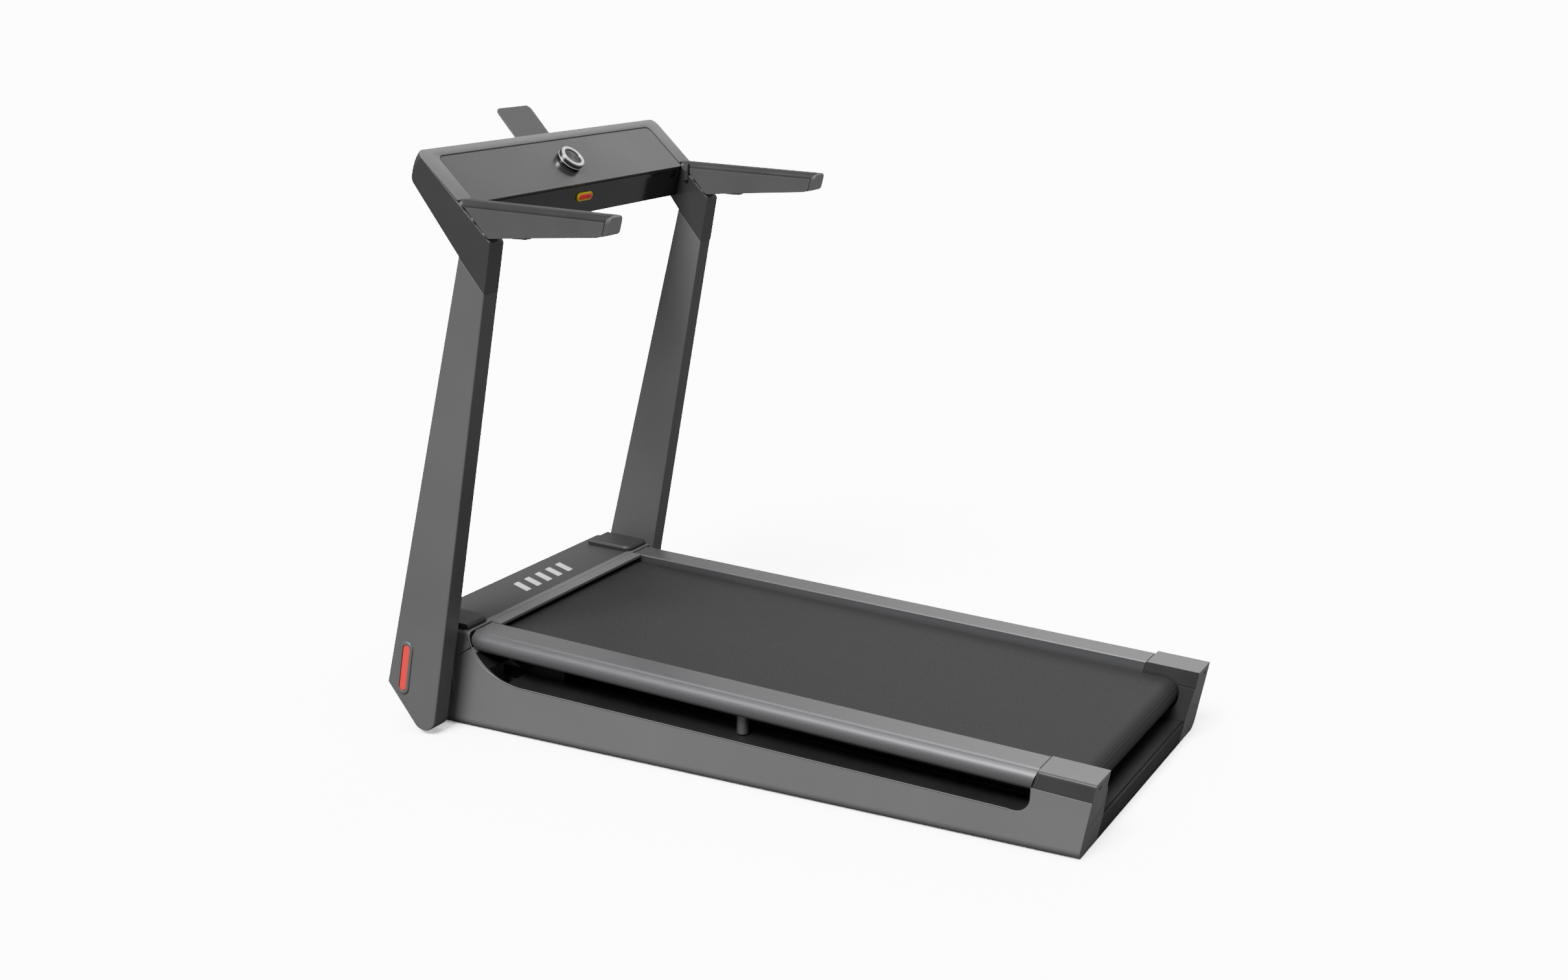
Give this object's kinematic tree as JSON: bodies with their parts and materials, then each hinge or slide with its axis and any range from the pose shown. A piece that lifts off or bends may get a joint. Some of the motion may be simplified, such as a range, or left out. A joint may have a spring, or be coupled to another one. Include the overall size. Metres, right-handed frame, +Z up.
{
  "type": "treadmill",
  "caption": "Folding treadmill: belt deck on rounded side rails over a windowed base, leaning uprights, sloped console with knob, folding handrails.",
  "frame": {"origin": "on the floor, in the middle of the footprint", "axes": "+Z up, +Y from the step-on end towards the console, X across, +X on the runner's right"},
  "size_m": [0.725, 1.2966, 1.072],
  "materials": {
    "mast_paint": "satin powder coat",
    "arm_gloss": "gloss",
    "console_border": "satin",
    "console_dark": "semi-gloss",
    "fascia_gloss": "gloss",
    "inner_plastic": "matt",
    "base_paint": "satin powder coat",
    "pan_black": "matt black",
    "motor_black": "matt black coat",
    "dark_steel": "matt black coat",
    "rail_aluminium": "satin anodised",
    "cap_plastic": "satin",
    "board": "waxed, black",
    "belt_rubber": "woven PVC",
    "rubber": "matt",
    "steel": "zinc plated",
    "hood_plastic": "fine texture",
    "trim_plastic": "satin",
    "wheel_tyre": "matt",
    "red_plastic": "satin",
    "tablet_plate": "satin",
    "knob_metal": "brushed",
    "knob_face": "radially brushed, dark",
    "handrail_plastic": "fine texture"
  },
  "bodies": {
    "base": {"left_side_beam": "base_paint", "right_side_beam": "base_paint", "floor_pan": "pan_black", "rear_crossmember": "dark_steel", "front_panel": "dark_steel", "left_side_rail": "rail_aluminium", "right_side_rail": "rail_aluminium", "left_end_cap": "cap_plastic", "right_end_cap": "cap_plastic", "end_covers": "cap_plastic", "deck_board": "board", "running_belt": "belt_rubber", "deck_crossbars": "dark_steel", "deck_cushions": "rubber", "deck_posts": "rail_aluminium", "tension_bolts": "steel", "rear_axle": "steel", "front_axle": "steel", "motor_hood": "hood_plastic", "hood_trim": "trim_plastic", "hood_pads": "inner_plastic", "hinge_brackets": "dark_steel", "hinge_pins": "steel", "motor_body": "motor_black", "motor_controller": "inner_plastic", "power_inlet": "inner_plastic", "drive_belt": "belt_rubber", "rubber_feet": "rubber", "wheel_axles": "steel"},
    "rear_roller": {"rear_roller": "steel", "rear_bearings": "steel"},
    "front_roller": {"front_roller": "steel", "front_bearings": "steel"},
    "motor_rotor": {"motor_shaft": "steel", "motor_flywheel": "dark_steel"},
    "left_wheel": {"left_wheel": "wheel_tyre"},
    "right_wheel": {"right_wheel": "wheel_tyre"},
    "power_switch": {"power_switch": "inner_plastic"},
    "mast": {"left_upright": "mast_paint", "right_upright": "mast_paint", "left_arm": "arm_gloss", "right_arm": "arm_gloss", "console_frame": "console_border", "console_panel": "console_dark", "console_fascia": "fascia_gloss", "console_back": "inner_plastic", "bar_bezels": "fascia_gloss", "handrail_pins": "steel"},
    "left_release_bar": {"left_release_bar": "red_plastic"},
    "right_release_bar": {"right_release_bar": "red_plastic"},
    "tablet_rest": {"tablet_rest": "tablet_plate"},
    "control_knob": {"control_knob": "knob_metal"},
    "knob_button": {"knob_button": "knob_face"},
    "safety_key": {"safety_key": "red_plastic"},
    "left_handrail": {"left_handrail": "handrail_plastic", "left_handrail_cap": "handrail_plastic"},
    "right_handrail": {"right_handrail": "handrail_plastic", "right_handrail_cap": "handrail_plastic"},
    "left_handrail_latch": {"left_handrail_latch": "handrail_plastic"},
    "right_handrail_latch": {"right_handrail_latch": "handrail_plastic"}
  },
  "joints": [
    {"name": "mast_fold", "type": "hinge", "parent": "base", "child": "mast", "pos_m": [0, 0.5769, 0.09], "axis": [1, 0, 0], "range_deg": [0, 72]},
    {"name": "front_roller_spin", "type": "hinge", "parent": "base", "child": "front_roller", "pos_m": [0, 0.5429, 0.146], "axis": [1, 0, 0], "continuous": true},
    {"name": "rear_roller_spin", "type": "hinge", "parent": "base", "child": "rear_roller", "pos_m": [0, -0.5871, 0.088], "axis": [1, 0, 0], "continuous": true},
    {"name": "motor_spin", "type": "hinge", "parent": "base", "child": "motor_rotor", "pos_m": [0, 0.5909, 0.084], "axis": [1, 0, 0], "continuous": true},
    {"name": "left_wheel_spin", "type": "hinge", "parent": "base", "child": "left_wheel", "pos_m": [-0.254, 0.6089, 0.026], "axis": [1, 0, 0], "continuous": true},
    {"name": "right_wheel_spin", "type": "hinge", "parent": "base", "child": "right_wheel", "pos_m": [0.254, 0.6089, 0.026], "axis": [1, 0, 0], "continuous": true},
    {"name": "power_switch_rock", "type": "hinge", "parent": "base", "child": "power_switch", "pos_m": [-0.1, 0.6349, 0.062], "axis": [1, 0, 0], "range_deg": [-8, 8]},
    {"name": "left_release_press", "type": "slide", "parent": "mast", "child": "left_release_bar", "axis": [1, 0, 0], "range_m": [0, 0.003], "stiffness_N_per_m": 1500},
    {"name": "right_release_press", "type": "slide", "parent": "mast", "child": "right_release_bar", "axis": [-1, 0, 0], "range_m": [0, 0.003], "stiffness_N_per_m": 1500},
    {"name": "tablet_rest_slide", "type": "slide", "parent": "mast", "child": "tablet_rest", "axis": [0, 0.6561, 0.7547], "range_m": [-0.075, 0]},
    {"name": "knob_turn", "type": "hinge", "parent": "mast", "child": "control_knob", "pos_m": [0, 0.46642, 0.97992], "axis": [0, -0.6947, 0.7193], "continuous": true},
    {"name": "knob_press", "type": "slide", "parent": "control_knob", "child": "knob_button", "axis": [0, 0.6947, -0.7193], "range_m": [0, 0.0012], "stiffness_N_per_m": 1200},
    {"name": "key_pull", "type": "slide", "parent": "mast", "child": "safety_key", "axis": [0, -0.9701, -0.2425], "range_m": [0, 0.03]},
    {"name": "left_handrail_fold", "type": "hinge", "parent": "mast", "child": "left_handrail", "pos_m": [-0.322, 0.4209, 0.93], "axis": [0, 0, 1], "range_deg": [0, 90]},
    {"name": "right_handrail_fold", "type": "hinge", "parent": "mast", "child": "right_handrail", "pos_m": [0.322, 0.4209, 0.93], "axis": [0, 0, -1], "range_deg": [0, 90]},
    {"name": "left_latch_press", "type": "slide", "parent": "left_handrail", "child": "left_handrail_latch", "axis": [0, 0, 1], "range_m": [0, 0.002], "stiffness_N_per_m": 800},
    {"name": "right_latch_press", "type": "slide", "parent": "right_handrail", "child": "right_handrail_latch", "axis": [0, 0, 1], "range_m": [0, 0.002], "stiffness_N_per_m": 800}
  ],
  "couplings": [
    {"joint": "rear_roller_spin", "follows": "front_roller_spin", "ratio": 1},
    {"joint": "motor_spin", "follows": "front_roller_spin", "ratio": 2.5455},
    {"joint": "left_handrail_fold", "follows": "mast_fold", "ratio": 1.25},
    {"joint": "right_handrail_fold", "follows": "mast_fold", "ratio": 1.25}
  ]
}
